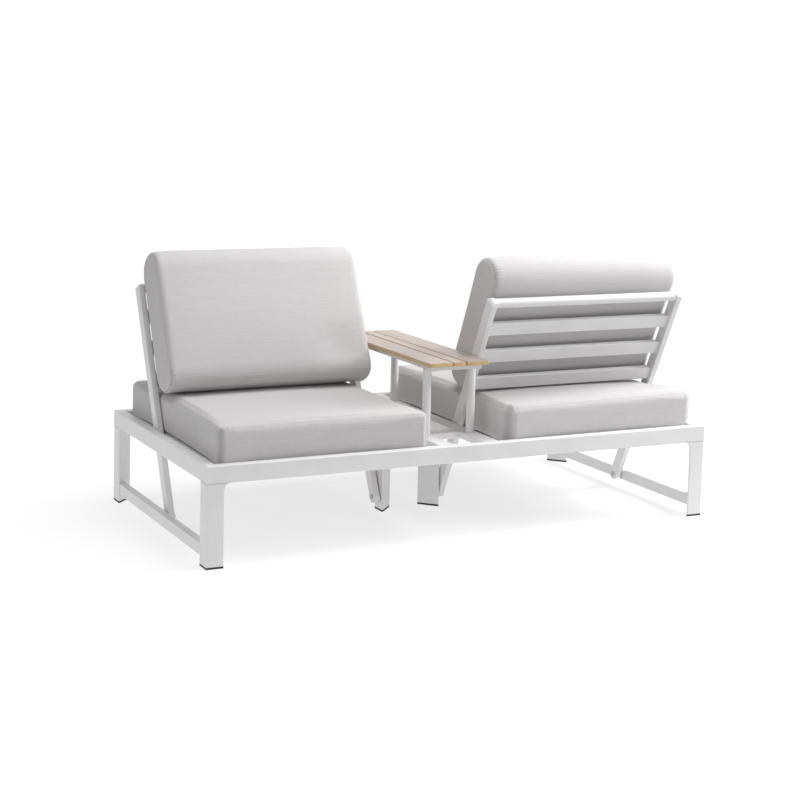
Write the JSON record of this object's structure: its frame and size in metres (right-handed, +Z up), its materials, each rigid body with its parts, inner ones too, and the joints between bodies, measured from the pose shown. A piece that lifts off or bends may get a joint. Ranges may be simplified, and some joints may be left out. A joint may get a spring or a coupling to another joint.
{
  "type": "garden bench",
  "caption": "White aluminium garden bench with seats facing opposite ways, swing-over slatted backs, light grey cushions and a slatted table between the seats.",
  "frame": {"origin": "centre of the footprint on the floor, under the middle of the bench", "axes": "+X along the bench, towards the seat whose back leans to the front; +Y to the back; +Z up"},
  "size_m": [1.66, 0.85, 0.8209],
  "materials": {
    "frame_white": "white powder coat, satin",
    "board_tan": "oiled slatted boards",
    "foot_black": "matt",
    "bolt_steel": "satin",
    "cushion_grey": "woven slub fabric"
  },
  "bodies": {
    "frame": {"front_rail": "frame_white", "back_rail": "frame_white", "left_end_rail": "frame_white", "right_end_rail": "frame_white", "left_inner_rail": "frame_white", "right_inner_rail": "frame_white", "front_tie_bar": "frame_white", "back_tie_bar": "frame_white", "front_left_leg": "frame_white", "front_left_foot": "foot_black", "front_left_post": "frame_white", "back_left_leg": "frame_white", "back_left_foot": "foot_black", "back_left_post": "frame_white", "left_middle_leg": "frame_white", "left_middle_foot": "foot_black", "left_stretcher": "frame_white", "left_inner_bolt": "bolt_steel", "left_outer_bolt": "bolt_steel", "left_seat_frame": "frame_white", "left_front_stop_bar": "bolt_steel", "left_back_stop_bar": "bolt_steel", "table_left_rail": "frame_white", "table_left_board": "board_tan", "left_seat_cushion": "cushion_grey", "front_right_leg": "frame_white", "front_right_foot": "foot_black", "front_right_post": "frame_white", "back_right_leg": "frame_white", "back_right_foot": "foot_black", "back_right_post": "frame_white", "right_middle_leg": "frame_white", "right_middle_foot": "foot_black", "right_stretcher": "frame_white", "right_inner_bolt": "bolt_steel", "right_outer_bolt": "bolt_steel", "right_seat_frame": "frame_white", "right_front_stop_bar": "bolt_steel", "right_back_stop_bar": "bolt_steel", "table_right_rail": "frame_white", "table_right_board": "board_tan", "right_seat_cushion": "cushion_grey", "table_front_bar": "frame_white", "table_back_bar": "frame_white", "table_middle_board": "board_tan"},
    "left_back": {"left_back_outer_arm": "frame_white", "left_back_inner_arm": "frame_white", "left_back_top_rail": "frame_white", "left_back_slat_1": "frame_white", "left_back_slat_2": "frame_white", "left_back_slat_3": "frame_white"},
    "right_back": {"right_back_outer_arm": "frame_white", "right_back_inner_arm": "frame_white", "right_back_top_rail": "frame_white", "right_back_slat_1": "frame_white", "right_back_slat_2": "frame_white", "right_back_slat_3": "frame_white"},
    "left_cushion": {"left_back_cushion": "cushion_grey"},
    "right_cushion": {"right_back_cushion": "cushion_grey"}
  },
  "joints": [
    {"name": "left_back_swing", "type": "hinge", "parent": "frame", "child": "left_back", "pos_m": [0, 0, 0.044], "axis": [1, 0, 0], "range_deg": [0, 50.8]},
    {"name": "left_cushion_lift", "type": "slide", "parent": "left_back", "child": "left_cushion", "axis": [0, 0.4289, 0.9033], "range_m": [0, 0.09]},
    {"name": "right_back_swing", "type": "hinge", "parent": "frame", "child": "right_back", "pos_m": [0, 0, 0.044], "axis": [-1, 0, 0], "range_deg": [0, 50.8]},
    {"name": "right_cushion_lift", "type": "slide", "parent": "right_back", "child": "right_cushion", "axis": [0, -0.4289, 0.9033], "range_m": [0, 0.09]}
  ],
  "couplings": [
    {"joint": "left_cushion_lift", "follows": "left_back_swing", "m_per_rad": 0.096},
    {"joint": "right_cushion_lift", "follows": "right_back_swing", "m_per_rad": 0.096}
  ]
}
